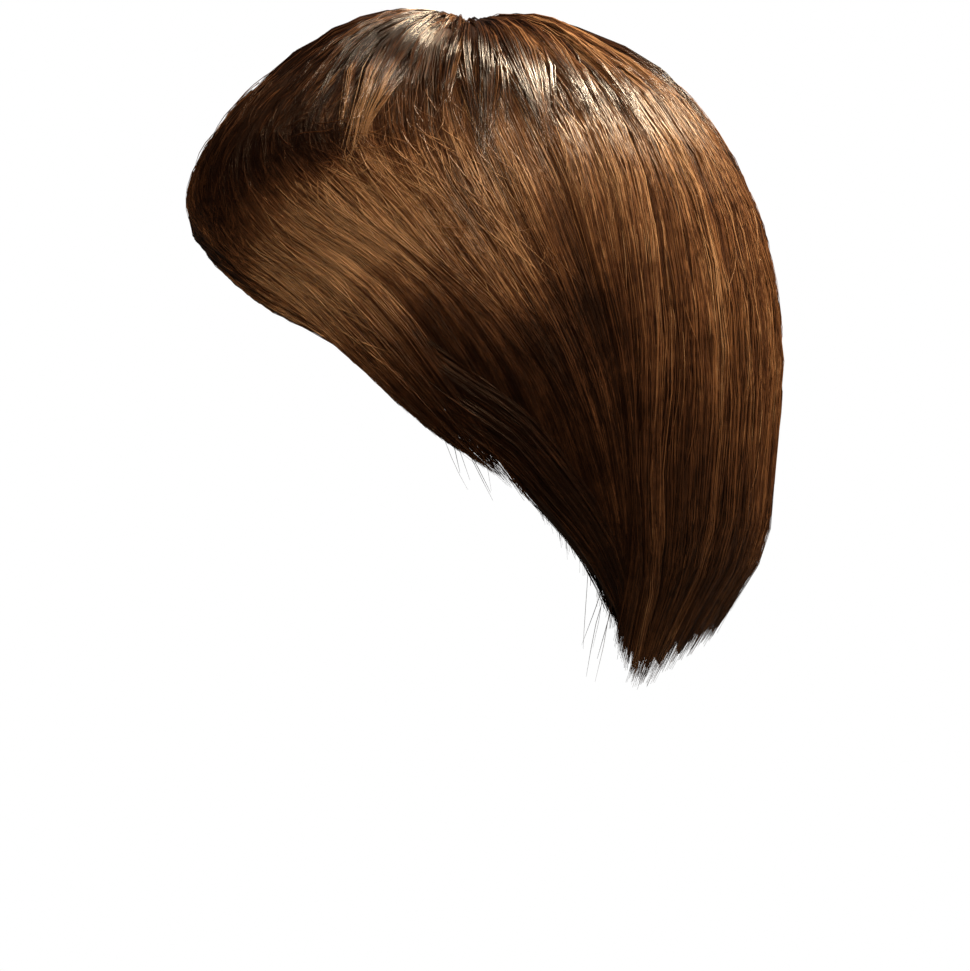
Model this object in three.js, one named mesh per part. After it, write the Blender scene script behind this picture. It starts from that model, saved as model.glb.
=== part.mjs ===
// A brown synthetic wig: ear-covering, with a collar-length back and a fringe swept to the wearer's left.
// Millimetres, +Z up. The wearer looks along -Y, so the wearer's left is +X.
// The origin is inside the top of the cap, where the top of the head bears, straight under the crown whorl.
import * as THREE from "three";

// Driving sizes
const capCloth = 1.5; // wall of the net cap
const capGap = 1.6; // clearance between the cap and the hair on it
const coverGap = 1.4; // clearance between the crown layer and the sections under it
const napeGap = 0.9; // clearance between the back section and the nape section inside it
const coverThickness = 6; // crown layer at the whorl
const coverTip = 1.8; // crown layer at its lock tips
const coverGroove = 1.2; // depth of the grooves between the crown layer's locks
const lockGroove = 2.2; // depth of the grooves between a section's locks
const lockTip = 2.6; // wall left at the tip of a lock
const fringeEdge = 4; // wall along the lower edge of the fringe
const valleyDepth = 5.5; // extra depth where two sections part
const samplesPerLock = 4; // columns of points across one lock

// The outer form of the hair as three lines from the whorl to the tips. A row is where the line crosses one
// ring: its reach from the whorl's axis, its height, and the hair's wall there, down to the cap.
const frontRows = [
  { ring: "whorl", reach: 0, height: 22.5, wall: 19.4 },
  { ring: "crown", reach: 30, height: 26.5, wall: 28 },
  { ring: "top", reach: 60, height: 17, wall: 31 },
  { ring: "upper", reach: 87, height: -2, wall: 31 },
  { ring: "temple", reach: 107.5, height: -24, wall: 28 },
  { ring: "brow", reach: 115.5, height: -47.5, wall: 22 },
  { ring: "ear", reach: 113.5, height: -65, wall: 14 },
  { ring: "lobe", reach: 105, height: -78, wall: 6 },
  { ring: "neck", reach: 99, height: -92, wall: 5 },
  { ring: "tips", reach: 95, height: -108, wall: 4 },
];
const sideRows = [
  { ring: "whorl", reach: 0, height: 22.5, wall: 19.4 },
  { ring: "crown", reach: 30, height: 20, wall: 23 },
  { ring: "top", reach: 57, height: 8.5, wall: 27 },
  { ring: "upper", reach: 79, height: -15, wall: 28 },
  { ring: "temple", reach: 94.5, height: -46, wall: 25 },
  { ring: "brow", reach: 101, height: -88, wall: 21 },
  { ring: "ear", reach: 102, height: -124, wall: 20 },
  { ring: "lobe", reach: 97, height: -160, wall: 18 },
  { ring: "neck", reach: 88, height: -198, wall: 15 },
  { ring: "tips", reach: 69, height: -250, wall: 11 },
];
const backRows = [
  { ring: "whorl", reach: 0, height: 22.5, wall: 19.4 },
  { ring: "crown", reach: 29, height: 23.5, wall: 25 },
  { ring: "top", reach: 58, height: 13.5, wall: 29 },
  { ring: "upper", reach: 88, height: -4.5, wall: 32 },
  { ring: "temple", reach: 111, height: -34, wall: 32 },
  { ring: "brow", reach: 123.5, height: -69, wall: 29 },
  { ring: "ear", reach: 129, height: -112, wall: 28 },
  { ring: "lobe", reach: 126.5, height: -156, wall: 26 },
  { ring: "neck", reach: 121, height: -198, wall: 22 },
  { ring: "tips", reach: 94, height: -243, wall: 16 },
];
const lastLevel = frontRows.length - 1;

// Paths that the hair follows from the whorl to its tips, at seven stations: azimuth in degrees (0 front,
// 90 wearer's left, 180 back, 270 right) and level, counted in rings from the whorl.
const paths = {
  partingFringe: { azimuth: [-40, -42, -38, -8, 32, 56, 76], level: [0.6, 2.8, 5.2, 6.95, 6.6, 6.2, 6.75] },
  foreheadSweep: { azimuth: [2, 10, 16, 19, 32, 56, 88], level: [0.6, 2.4, 3.8, 4.9, 5.55, 5.65, 6.85] },
  templeSweep: { azimuth: [30, 32, 30, 33, 47, 75, 103], level: [0.6, 2.4, 3.5, 4.25, 4.75, 5.2, 7.2] },
  sideFront: { azimuth: [46, 46, 43, 47, 63, 92, 117], level: [0.6, 2.3, 3.3, 3.9, 4.4, 5.4, 8.05] },
  sideMiddle: { azimuth: [68, 69, 72, 80, 95, 112, 127], level: [0.6, 2.2, 3.2, 4, 4.85, 6.4, 8.7] },
  valleyLeft: { azimuth: [100, 103, 108, 115, 122, 130, 137], level: [0.6, 2, 3.3, 4.5, 5.7, 7.2, 8.85] },
  napeLeft: { azimuth: [142, 143, 144, 146, 148, 150, 152], level: [0.6, 2, 3.4, 4.8, 6.1, 7.5, 8.95] },
  napeMiddle: { azimuth: [180, 180, 180, 180, 180, 180, 180], level: [0.6, 2, 3.3, 4.6, 5.9, 7.3, 8.7] },
  napeRight: { azimuth: [218, 217, 216, 214, 212, 210, 208], level: [0.6, 2, 3.4, 4.8, 6.1, 7.5, 8.95] },
  valleyRight: { azimuth: [260, 257, 252, 245, 238, 230, 223], level: [0.6, 2, 3.3, 4.5, 5.7, 7.2, 8.85] },
  sideRight: { azimuth: [288, 286, 280, 272, 264, 256, 248], level: [0.6, 2, 3.2, 4.3, 5.3, 6.4, 7.7] },
  templeRight: { azimuth: [319, 317, 315, 311, 301, 287, 274], level: [0.6, 2.2, 3.6, 4.8, 5.6, 6, 6.3] },
};

// The cap's edge on either side: on the hairline, above the ear and low on the nape.
const rimStep = 45; // degrees between two rows
const rimRows = [
  { azimuth: 0, level: 6.1 },
  { azimuth: 45, level: 5.3 },
  { azimuth: 90, level: 5.2 },
  { azimuth: 135, level: 6.7 },
  { azimuth: 180, level: 7.2 },
];

const { clamp, degToRad, lerp, radToDeg, smoothstep } = THREE.MathUtils;

// Smooth line through the rows of one side: x is the reach, y the wall and z the height.
function formLine(rows) {
  const points = rows.map((row) => new THREE.Vector3(row.reach, row.wall, row.height));
  return new THREE.CatmullRomCurve3(points, false, "catmullrom", 0.5);
}
const frontLine = formLine(frontRows);
const sideLine = formLine(sideRows);
const backLine = formLine(backRows);

// Point of the outer form, with the wall there. Each quarter of a ring is a quarter of an ellipse.
function formAt(azimuth, level) {
  const along = clamp(level / lastLevel, 0, 1);
  const cos = Math.cos(degToRad(azimuth));
  const sin = Math.sin(degToRad(azimuth));
  const ahead = (cos >= 0 ? frontLine : backLine).getPoint(along);
  const aside = sideLine.getPoint(along);
  const reach = (ahead.x * aside.x) / Math.max(Math.hypot(cos * aside.x, sin * ahead.x), 1e-6);
  return {
    point: new THREE.Vector3(sin * reach, -cos * reach, lerp(aside.z, ahead.z, cos * cos)),
    wall: lerp(aside.y, ahead.y, cos * cos),
  };
}

// Outward normal of the form, from small steps down and round it.
function formNormal(azimuth, level) {
  const step = 0.05; // in rings, and in radians round the axis
  if (level < step) return new THREE.Vector3(0, 0, 1);
  const turn = radToDeg(step);
  const low = Math.min(level + step, lastLevel);
  const down = formAt(azimuth, low).point.sub(formAt(azimuth, low - 2 * step).point);
  const round = formAt(azimuth + turn, level).point.sub(formAt(azimuth - turn, level).point);
  return down.cross(round).normalize();
}

// Point at a depth under the outer form.
function pointUnder(azimuth, level, depth) {
  return formAt(azimuth, level).point.addScaledVector(formNormal(azimuth, level), -depth);
}

// Closed solid between an outer and an inner grid of points, grid[row][column]. Where `round` is set, the
// columns close into loops and a first row that is all one point becomes a fan.
function wallSolid(outerGrid, innerGrid, round) {
  const positions = [];
  const index = [];
  const addGrid = (grid) =>
    grid.map((row) => {
      const isApex = round && row.every((point) => point.distanceTo(row[0]) < 1e-6);
      return row.map((point, column) => {
        if (!isApex || column === 0) positions.push(point.x, point.y, point.z);
        return positions.length / 3 - 1;
      });
    });
  const outer = addGrid(outerGrid);
  const inner = addGrid(innerGrid);
  const addTriangle = (a, b, c) => {
    if (a !== b && b !== c && c !== a) index.push(a, b, c);
  };
  const addQuad = (a, b, c, d) => {
    addTriangle(a, b, c);
    addTriangle(a, c, d);
  };
  const bottom = outer.length - 1;
  const columns = outer[0].length;
  const spans = round ? columns : columns - 1;
  for (let r = 0; r < bottom; r++) {
    for (let c = 0; c < spans; c++) {
      const next = (c + 1) % columns;
      addQuad(outer[r][c], outer[r + 1][c], outer[r + 1][next], outer[r][next]);
      addQuad(inner[r][c], inner[r][next], inner[r + 1][next], inner[r + 1][c]);
    }
    if (!round) {
      addQuad(outer[r][0], inner[r][0], inner[r + 1][0], outer[r + 1][0]);
      addQuad(outer[r][spans], outer[r + 1][spans], inner[r + 1][spans], inner[r][spans]);
    }
  }
  for (let c = 0; c < spans; c++) {
    const next = (c + 1) % columns;
    addQuad(outer[bottom][c], inner[bottom][c], inner[bottom][next], outer[bottom][next]);
    if (!round) addQuad(outer[0][c], outer[0][next], inner[0][next], inner[0][c]);
  }
  const geometry = new THREE.BufferGeometry();
  geometry.setAttribute("position", new THREE.Float32BufferAttribute(positions, 3));
  geometry.setIndex(index);
  geometry.computeVertexNormals();
  return geometry;
}

function pieceOf(name, geometry, color, roughness) {
  const mesh = new THREE.Mesh(geometry, new THREE.MeshStandardMaterial({ color, roughness, metalness: 0 }));
  mesh.name = name;
  return mesh;
}
const hairRoughness = 0.42;
const netRoughness = 0.9;

// Depths under the outer form
const coverEnds = { from: 1.8, to: 5.4 }; // levels where the sections come up from under the crown layer
const sunk = coverThickness + coverGap;
const coverDepth = (level) => lerp(sunk, 0, smoothstep(level, coverEnds.from, coverEnds.to));
const wallDepth = (azimuth, level) => formAt(azimuth, level).wall;
const napeLevels = { from: 4.8, to: 7.4 }; // levels where the back section thins to let the nape section in
const napeShare = 0.5; // share of the wall that it keeps below them
const backShare = (level) => lerp(1, napeShare, smoothstep(level, napeLevels.from, napeLevels.to));
const backDepth = (azimuth, level) => wallDepth(azimuth, level) * backShare(level);

// Across a lock: the groove is 0 on its ridge, the notch is 0 at its point, and both are 1 between two locks.
const ridgeRoundness = 0.7;
const grooveAt = (lock) => 1 - Math.pow(Math.abs(Math.sin(Math.PI * lock)), ridgeRoundness);
const notchAt = (lock) => Math.abs(2 * (lock - Math.floor(lock)) - 1);

// Path at a place across a section, between the two neighbouring paths.
function pathBetween(neighbours, across) {
  const place = across * (neighbours.length - 1);
  const first = Math.min(Math.floor(place), neighbours.length - 2);
  const [one, other] = [neighbours[first], neighbours[first + 1]];
  const mix = (key, station) => lerp(one[key][station], other[key][station], place - first);
  const stations = one.azimuth.map((_, s) => new THREE.Vector2(mix("azimuth", s), mix("level", s)));
  return new THREE.SplineCurve(stations);
}

// A section of hair: locks lie side by side between its paths, fused to one wall, and end in points.
function hairSection({ name, color, between, locks, rows, start, notch, top, bottom, edgeWall, valleys }) {
  const inset = 0.018; // share of the width left free at either seam
  const relief = { from: 0.15, to: 0.5 }; // shares of the length over which the grooves deepen
  const taperFrom = 0.75; // share of the length where the wall starts to thin
  const tipSink = 0.25; // share of the lost wall that is taken off the outside
  const edgeShare = 0.3; // share of the width over which a thin edge thickens
  const columns = locks * samplesPerLock;
  const outer = Array.from({ length: rows + 1 }, () => []);
  const inner = Array.from({ length: rows + 1 }, () => []);
  for (let c = 0; c <= columns; c++) {
    const lock = c / samplesPerLock;
    const across = lerp(inset, 1 - inset, c / columns);
    const path = pathBetween(between, across);
    const seam = valleys.first * Math.exp(-lock) + valleys.last * Math.exp(lock - locks);
    for (let r = 0; r <= rows; r++) {
      const along = lerp(start, 1 - notch * notchAt(lock), r / rows);
      const { x: azimuth, y: level } = path.getPoint(along);
      const grooves = lockGroove * grooveAt(lock) * smoothstep(along, relief.from, relief.to);
      const swell = Math.sin(Math.PI * clamp((along - relief.from) / (1 - relief.from), 0, 1));
      const surface = top(azimuth, level) + grooves + valleyDepth * seam * swell;
      const whole = bottom(azimuth, level) - surface;
      const edged = lerp(edgeWall || whole, whole, smoothstep(across, 0, edgeShare));
      const thick = Math.max(edged, lockTip);
      const wall = lerp(thick, lockTip, smoothstep(along, taperFrom, 1));
      const outside = surface + tipSink * (thick - wall);
      outer[r].push(pointUnder(azimuth, level, outside));
      inner[r].push(pointUnder(azimuth, level, outside + wall));
    }
  }
  return pieceOf(name, wallSolid(outer, inner, false), color, hairRoughness);
}

// The net cap: a plain wall under the hair, open below.
function capPiece() {
  const columns = 36;
  const rows = 8;
  const rimLevel = (azimuth) => {
    const place = Math.min(Math.abs(azimuth) / rimStep, rimRows.length - 1.001);
    const first = Math.floor(place);
    return lerp(rimRows[first].level, rimRows[first + 1].level, smoothstep(place - first, 0, 1));
  };
  const gridAt = (depth) =>
    Array.from({ length: rows + 1 }, (_, r) =>
      Array.from({ length: columns }, (_, c) => {
        const azimuth = (360 * c) / columns - 180;
        const level = (rimLevel(azimuth) * r) / rows;
        return pointUnder(azimuth, level, wallDepth(azimuth, level) + capGap + depth);
      }),
    );
  return pieceOf("cap", wallSolid(gridAt(0), gridAt(capCloth), true), 0x1c1512, netRoughness);
}

// The crown layer: short cover hair that turns about the whorl and ends in pointed locks over the sections.
function crownPiece() {
  const locks = 17;
  const columns = locks * samplesPerLock;
  const wholeRows = 5; // rows from the whorl to where the locks part
  const tipRows = 3; // rows from there to the points
  const rows = wholeRows + tipRows;
  const partLevel = 2.6; // level where the locks part
  const notchLevel = 2.75; // level of the notches between their points
  const swirl = 14; // degrees that a lock has turned at the part level
  const reliefFrom = 2; // row where the grooves start
  const thinnest = 1; // wall left in a groove
  const unevenness = (lock) => 0.35 * Math.sin(2.4 * lock) + 0.2 * Math.sin(1.3 * lock + 2);
  const pointLevel = (lock) => 3.45 + unevenness(lock);
  const outer = [];
  const inner = [];
  for (let r = 0; r <= rows; r++) {
    outer.push([]);
    inner.push([]);
    const thickness = lerp(coverThickness, coverTip, smoothstep(r, reliefFrom, rows));
    for (let c = 0; c < columns; c++) {
      const lock = c / samplesPerLock;
      const tip = lerp(pointLevel(Math.floor(lock)), notchLevel, notchAt(lock));
      const inTip = Math.max(r - wholeRows, 0) / tipRows;
      const level = lerp((partLevel * Math.min(r, wholeRows)) / wholeRows, tip, inTip);
      const azimuth = (360 * c) / columns + (swirl * level) / partLevel;
      const groove = coverGroove * grooveAt(lock) * smoothstep(r, reliefFrom, wholeRows);
      const under = coverDepth(level) - coverGap;
      outer[r].push(pointUnder(azimuth, level, under - Math.max(thickness - groove, thinnest)));
      inner[r].push(pointUnder(azimuth, level, under));
    }
  }
  return pieceOf("crown_hair", wallSolid(outer, inner, true), 0x5e3b23, hairRoughness);
}

const underCover = (azimuth, level) => coverDepth(level);
const fromWhorl = { start: 0, notch: 0.07, top: underCover, edgeWall: 0 };
const backPaths = [paths.valleyLeft, paths.napeLeft, paths.napeMiddle, paths.napeRight, paths.valleyRight];

const wig = new THREE.Group();
wig.name = "wig";
wig.add(
  capPiece(),
  crownPiece(),
  hairSection({
    ...fromWhorl,
    name: "fringe_hair",
    color: 0x4a2d1b,
    between: [paths.partingFringe, paths.foreheadSweep, paths.templeSweep],
    locks: 8,
    rows: 16,
    bottom: wallDepth,
    edgeWall: fringeEdge,
    valleys: { first: 0, last: 0.4 },
  }),
  hairSection({
    ...fromWhorl,
    name: "side_hair_left",
    color: 0x56361f,
    between: [paths.templeSweep, paths.sideFront, paths.sideMiddle, paths.valleyLeft],
    locks: 7,
    rows: 16,
    bottom: wallDepth,
    valleys: { first: 0.4, last: 1 },
  }),
  hairSection({
    ...fromWhorl,
    name: "back_hair",
    color: 0x4d2f1c,
    between: backPaths,
    locks: 9,
    rows: 12,
    bottom: backDepth,
    valleys: { first: 1, last: 1 },
  }),
  hairSection({
    ...fromWhorl,
    name: "side_hair_right",
    color: 0x56361f,
    between: [paths.valleyRight, paths.sideRight, paths.templeRight],
    locks: 6,
    rows: 13,
    bottom: wallDepth,
    valleys: { first: 1, last: 0.4 },
  }),
  hairSection({
    name: "nape_hair",
    color: 0x2a1810,
    between: backPaths,
    locks: 6,
    rows: 7,
    start: 0.72, // hangs from the nape rows
    notch: 0.08,
    top: (azimuth, level) => backDepth(azimuth, level) + napeGap,
    bottom: wallDepth,
    edgeWall: 0,
    valleys: { first: 0, last: 0 },
  }),
);

export default wig;
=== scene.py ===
import math

import bpy
import numpy as np
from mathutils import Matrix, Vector


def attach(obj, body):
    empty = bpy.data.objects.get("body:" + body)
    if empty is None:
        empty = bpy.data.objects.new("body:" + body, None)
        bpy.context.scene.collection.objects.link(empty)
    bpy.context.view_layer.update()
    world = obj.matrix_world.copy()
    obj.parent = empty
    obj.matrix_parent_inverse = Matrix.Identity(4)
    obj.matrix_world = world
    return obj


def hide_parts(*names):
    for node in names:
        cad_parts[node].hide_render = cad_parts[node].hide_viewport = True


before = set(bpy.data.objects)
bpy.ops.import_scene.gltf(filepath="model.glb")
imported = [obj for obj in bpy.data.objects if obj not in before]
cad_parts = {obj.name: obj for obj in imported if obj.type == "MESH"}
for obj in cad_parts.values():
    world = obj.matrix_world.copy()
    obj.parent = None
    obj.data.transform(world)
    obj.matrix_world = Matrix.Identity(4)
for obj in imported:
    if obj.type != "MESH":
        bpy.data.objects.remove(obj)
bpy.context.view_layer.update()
mm = 0.001
print("frame loaded:", ", ".join(sorted(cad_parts)))


# the outer form of the hair, in mm: rings from the whorl to the tips on the front, side and back lines
formLines = {
    "front": {
        "reach": [0, 30, 60, 87, 105, 115.2, 113.5, 105, 99, 95],
        "height": [22.5, 26.5, 17, -2, -24, -47.5, -65, -78, -92, -108],
        "wall": [19.4, 28, 31, 31, 28, 22, 14, 6, 5, 4],
    },
    "side": {
        "reach": [0, 30, 57, 79, 94.5, 101, 102, 97, 88, 69],
        "height": [22.5, 20, 8.5, -15, -46, -88, -124, -160, -198, -250],
        "wall": [19.4, 23, 27, 28, 25, 21, 20, 18, 15, 11],
    },
    "back": {
        "reach": [0, 29, 58, 88, 109, 122.6, 129, 126.5, 121, 94],
        "height": [22.5, 23.5, 13.5, -4.5, -34, -69, -112, -156, -198, -243],
        "wall": [19.4, 25, 29, 32, 32, 29, 28, 26, 22, 16],
    },
}
lastLevel = len(formLines["side"]["reach"]) - 1
pastTips = 0.4  # rings that the form runs on below its last one

# paths that the hair follows: azimuth in degrees (0 front, 90 left) and level in rings from the whorl
hairPaths = {
    "partingFringe": {"azimuth": [-40, -42, -38, -8, 32, 56, 76],
                      "level": [0.6, 2.8, 5.2, 6.95, 6.6, 6.2, 6.75]},
    "foreheadSweep": {"azimuth": [2, 10, 16, 19, 32, 56, 88],
                      "level": [0.6, 2.4, 3.8, 4.9, 5.55, 5.65, 6.85]},
    "templeSweep": {"azimuth": [30, 32, 30, 33, 47, 75, 103],
                    "level": [0.6, 2.4, 3.5, 4.25, 4.75, 5.2, 7.2]},
    "sideFront": {"azimuth": [46, 46, 43, 47, 63, 92, 117],
                  "level": [0.6, 2.3, 3.3, 3.9, 4.4, 5.4, 8.05]},
    "sideMiddle": {"azimuth": [68, 69, 72, 80, 95, 112, 127],
                   "level": [0.6, 2.2, 3.2, 4, 4.85, 6.4, 8.7]},
    "valleyLeft": {"azimuth": [100, 103, 108, 115, 122, 130, 137],
                   "level": [0.6, 2, 3.3, 4.5, 5.7, 7.2, 8.85]},
    "napeLeft": {"azimuth": [142, 143, 144, 146, 148, 150, 152],
                 "level": [0.6, 2, 3.4, 4.8, 6.1, 7.5, 8.95]},
    "napeMiddle": {"azimuth": [180] * 7,
                   "level": [0.6, 2, 3.3, 4.6, 5.9, 7.3, 8.7]},
    "sideRight": {"azimuth": [288, 286, 280, 272, 264, 256, 248],
                  "level": [0.6, 2, 3.2, 4.3, 5.3, 6.4, 7.7]},
    "templeRight": {"azimuth": [319, 317, 315, 311, 301, 287, 274],
                    "level": [0.6, 2.2, 3.6, 4.8, 5.6, 6, 6.3]},
    # single strands run on along the fringe's edge and end over the side section
    "hemFlow": {"azimuth": [-40, -42, -38, -8, 34, 60, 87],
                "level": [0.6, 2.8, 5.2, 6.95, 6.5, 6.15, 6.85]},
    "foreheadFlow": {"azimuth": [2, 10, 16, 19, 32, 54, 92],
                     "level": [0.6, 2.4, 3.8, 4.9, 5.65, 5.9, 7]},
    "templeFlow": {"azimuth": [30, 32, 30, 33, 47, 74, 104],
                   "level": [0.6, 2.4, 3.5, 4.25, 4.75, 5.3, 7.35]},
    "sideFrontFlow": {"azimuth": [46, 46, 43, 47, 63, 92, 118],
                      "level": [0.6, 2.3, 3.3, 3.9, 4.4, 5.4, 7.85]},
    "sideMiddleFlow": {"azimuth": [68, 69, 72, 80, 95, 113, 131],
                       "level": [0.6, 2.2, 3.2, 4, 4.85, 6.35, 8.4]},
    "valleyFlow": {"azimuth": [100, 103, 108, 115, 122, 129, 134],
                   "level": [0.6, 2, 3.3, 4.5, 5.7, 7.2, 8.55]},
    "backLeftFlow": {"azimuth": [125, 127, 129, 130, 131, 133, 143],
                     "level": [0.6, 2, 3.4, 4.75, 6.1, 7.4, 8.85]},
    # strands along the lower edge, from the fringe's end to the tips at the back
    "hemOuter": {"azimuth": [66, 80, 90, 99, 109, 121, 137],
                 "level": [6, 6.4, 6.75, 7.05, 7.55, 8.05, 8.65]},
    "hemInner": {"azimuth": [66, 80, 92, 104, 115, 126, 140],
                 "level": [5.3, 5.7, 6.05, 6.45, 7.05, 7.75, 8.65]},
}
mirroredPaths = {
    "valleyLeft": "valleyRight", "napeLeft": "napeRight", "valleyFlow": "valleyFlowRight",
    "backLeftFlow": "backRightFlow", "hemOuter": "hemOuterRight", "hemInner": "hemInnerRight",
}
for leftName, rightName in mirroredPaths.items():
    turned = [360 - azimuth for azimuth in hairPaths[leftName]["azimuth"]]
    hairPaths[rightName] = {"azimuth": turned, "level": hairPaths[leftName]["level"]}


def smoothstep(value, start, end):
    part = np.clip((value - start) / (end - start), 0, 1)
    return part * part * (3 - 2 * part)


def splineThrough(rows, place):  # Catmull-Rom through rows (..., knots, columns), place counts knots
    rows = np.broadcast_to(rows, place.shape + rows.shape[-2:])
    before = 2 * rows[..., :1, :] - rows[..., 1:2, :]
    after = 2 * rows[..., -1:, :] - rows[..., -2:-1, :]
    knots = np.concatenate([before, rows, after], -2)
    first = np.clip(np.floor(place).astype(int), 0, rows.shape[-2] - 2)
    a, b, c, d = (np.take_along_axis(knots, (first + k)[..., None, None], -2)[..., 0, :] for k in range(4))
    part = (place - first)[..., None]
    return b + 0.5 * part * (c - a + part * (2 * a - 5 * b + 4 * c - d + part * (3 * (b - c) + d - a)))


def lineAt(side, level):
    return splineThrough(np.array(list(formLines[side].values()), float).T, level)


def formAt(azimuth, level):  # points of the outer form and the hair's wall there, in metres
    level = np.clip(level, 0, lastLevel + pastTips)
    cos, sin = np.cos(np.radians(azimuth)), np.sin(np.radians(azimuth))
    aside = lineAt("side", level)
    ahead = np.where((cos >= 0)[..., None], lineAt("front", level), lineAt("back", level))
    across = np.hypot(cos * aside[..., 0], sin * ahead[..., 0])
    reach = ahead[..., 0] * aside[..., 0] / np.maximum(across, 1e-6)
    mixed = aside + (ahead - aside) * (cos * cos)[..., None]
    points = np.stack([sin * reach, -cos * reach, mixed[..., 1]], -1)
    return points * mm, mixed[..., 2] * mm


def formNormal(azimuth, level):
    step = 0.05  # rings, and radians round the axis
    turn = math.degrees(step)
    low = np.clip(level + step, 3 * step, lastLevel)
    down = formAt(azimuth, low)[0] - formAt(azimuth, low - 2 * step)[0]
    level = np.maximum(level, step)
    around = formAt(azimuth + turn, level)[0] - formAt(azimuth - turn, level)[0]
    normal = np.cross(down, around)
    return normal / np.linalg.norm(normal, axis=-1, keepdims=True)


def pathPlace(names, across, along):  # azimuth and level at shares across a section and along its hair
    table = np.array([[hairPaths[name]["azimuth"], hairPaths[name]["level"]] for name in names], float)
    paths, columns, stations = table.shape
    mixed = splineThrough(table.reshape(paths, -1), across * (paths - 1))
    mixed = np.swapaxes(mixed.reshape(across.shape + (columns, stations)), -1, -2)
    place = splineThrough(mixed, along * (stations - 1))
    return place[..., 0], place[..., 1]


# node helpers
def addNode(tree, kind, feeds=None, **settings):
    node = tree.nodes.new(kind)
    for name, value in settings.items():
        setattr(node, name, value)
    for key, value in (feeds or {}).items():
        if isinstance(value, bpy.types.NodeSocket):
            tree.links.new(value, node.inputs[key])
        else:
            node.inputs[key].default_value = value
    return node


def calc(tree, operation, *values):
    return addNode(tree, "ShaderNodeMath", dict(enumerate(values)), operation=operation).outputs[0]


def calcVector(tree, operation, *values):
    feeds = dict(enumerate(values))
    if operation == "SCALE":
        feeds = {0: values[0], "Scale": values[1]}
    return addNode(tree, "ShaderNodeVectorMath", feeds, operation=operation).outputs[0]


def mapRange(tree, value, fromRange, toRange, smooth=False):
    feeds = dict(enumerate((value, *fromRange, *toRange)))
    kind = "SMOOTHSTEP" if smooth else "LINEAR"
    return addNode(tree, "ShaderNodeMapRange", feeds, interpolation_type=kind).outputs[0]


def randomFloat(tree, low, high, seed):
    index = addNode(tree, "GeometryNodeInputIndex").outputs[0]
    feeds = {2: low, 3: high, "ID": index, "Seed": seed}
    return addNode(tree, "FunctionNodeRandomValue", feeds, data_type="FLOAT").outputs[1]


def readAttribute(tree, name, kind="FLOAT"):
    return addNode(tree, "GeometryNodeInputNamedAttribute", {"Name": name}, data_type=kind).outputs[0]


def storeAttribute(tree, geometry, name, value, domain, kind="FLOAT"):
    feeds = {"Geometry": geometry, "Name": name, "Value": value}
    return addNode(tree, "GeometryNodeStoreNamedAttribute", feeds, data_type=kind, domain=domain).outputs[0]


# every lock guide becomes a bundle of fine strands
strandHabit = {
    "sides": 3, "unevenWidth": (0.7, 1.25), "taperFrom": 0.7, "taper": (0.5, 0.18), "gatherFrom": 0.55,
    "archMiddle": 0.5, "wave": {"Scale": 28, "Detail": 1}, "waveApart": 0.03, "looseness": (0.7, 1.8),
    "mapAround": (0.2, 0.95), "mapAlong": (0.08, 0.92),  # the part of its map cell that a strand takes
}
strandDefaults = {
    "Strands per Lock": 14, "Spread": 1, "Lift": 1.2 * mm, "Strand Width": 0.34 * mm,
    "Frizz": 2.4 * mm, "Tip Gather": 0.85, "Shortest": 0.95, "Tone Spread": 0.34,
}
guideAttributes = ["side", "out", "lockToneAndPaintedLight", "lockWidth", "shift", "stray", "around", "strandNumber"]


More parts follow.
